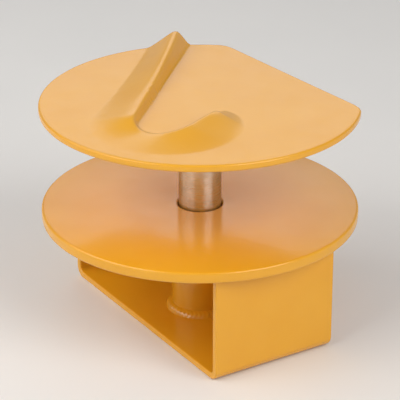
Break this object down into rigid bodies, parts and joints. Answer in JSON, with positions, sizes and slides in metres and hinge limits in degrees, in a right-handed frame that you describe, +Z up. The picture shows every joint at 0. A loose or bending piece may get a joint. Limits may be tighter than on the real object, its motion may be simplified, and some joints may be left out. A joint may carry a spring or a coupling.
{
  "type": "trailer coupler lock",
  "caption": "Keyed lock for a ring-shaped trailer coupler eye: an upper disc with a post, a lower disc with a channel-shaped guard, and a push-to-lock cylinder across the guard.",
  "frame": {"origin": "on the post's axis, in the underside of the guard channel's floor", "axes": "+Z up along the post towards the upper disc; +X along the guard channel towards the trailer's side, where the upper disc is cut straight (the cut stands turned by 4.5 degrees at rest); -X is the side the lock cylinder faces; +Y across the channel"},
  "size_m": [0.14, 0.14, 0.109],
  "materials": {
    "yellow_powder_coat": "glossy powder coat",
    "zinc_plated_steel": "bright zinc plate",
    "spring_steel": "drawn wire",
    "chrome_cap": "polished",
    "brass_plug": "machined",
    "black_rubber": "satin"
  },
  "bodies": {
    "base": {"lower_flange": "yellow_powder_coat", "guard_channel": "yellow_powder_coat", "guard_weld_left": "yellow_powder_coat", "guard_weld_right": "yellow_powder_coat", "post_sleeve": "yellow_powder_coat", "sleeve_weld_upper": "yellow_powder_coat", "sleeve_weld_lower": "yellow_powder_coat", "lock_barrel": "yellow_powder_coat", "barrel_weld": "yellow_powder_coat", "stop_screw": "zinc_plated_steel", "return_spring": "spring_steel"},
    "seal": {"post_o_ring": "black_rubber"},
    "top": {"top_plate": "yellow_powder_coat", "locking_post": "zinc_plated_steel", "post_weld": "yellow_powder_coat"},
    "plunger": {"lock_shell": "zinc_plated_steel", "face_cap": "chrome_cap", "locking_bolt": "zinc_plated_steel", "shell_o_ring": "black_rubber"},
    "plug": {"key_plug": "brass_plug", "plug_cam": "zinc_plated_steel", "plug_clip": "spring_steel", "wafer_1": "brass_plug", "wafer_2": "brass_plug", "wafer_3": "brass_plug", "wafer_4": "brass_plug", "wafer_5": "brass_plug", "wafer_spring_1": "spring_steel", "wafer_spring_2": "spring_steel", "wafer_spring_3": "spring_steel", "wafer_spring_4": "spring_steel", "wafer_spring_5": "spring_steel"},
    "ball": {"detent_ball": "spring_steel"}
  },
  "joints": [
    {"name": "post_lift", "type": "slide", "parent": "base", "child": "seal", "axis": [0, 0, 1], "range_m": [0, 0.1]},
    {"name": "plate_swivel", "type": "hinge", "parent": "seal", "child": "top", "pos_m": [0, 0, 0], "axis": [0, 0, 1], "continuous": true},
    {"name": "plunger_push", "type": "slide", "parent": "base", "child": "plunger", "axis": [1, 0, 0], "range_m": [0, 0.006], "stiffness_N_per_m": 400, "deforming": ["return_spring"]},
    {"name": "key_turn", "type": "hinge", "parent": "plunger", "child": "plug", "pos_m": [-0.034, 0, 0.038], "axis": [1, 0, 0], "range_deg": [0, 90]},
    {"name": "detent_out", "type": "slide", "parent": "plunger", "child": "ball", "axis": [0, 0, -1], "range_m": [0, 0.001]}
  ],
  "couplings": [
    {"joint": "detent_out", "follows": "key_turn", "m_per_rad": 0.00063662}
  ]
}
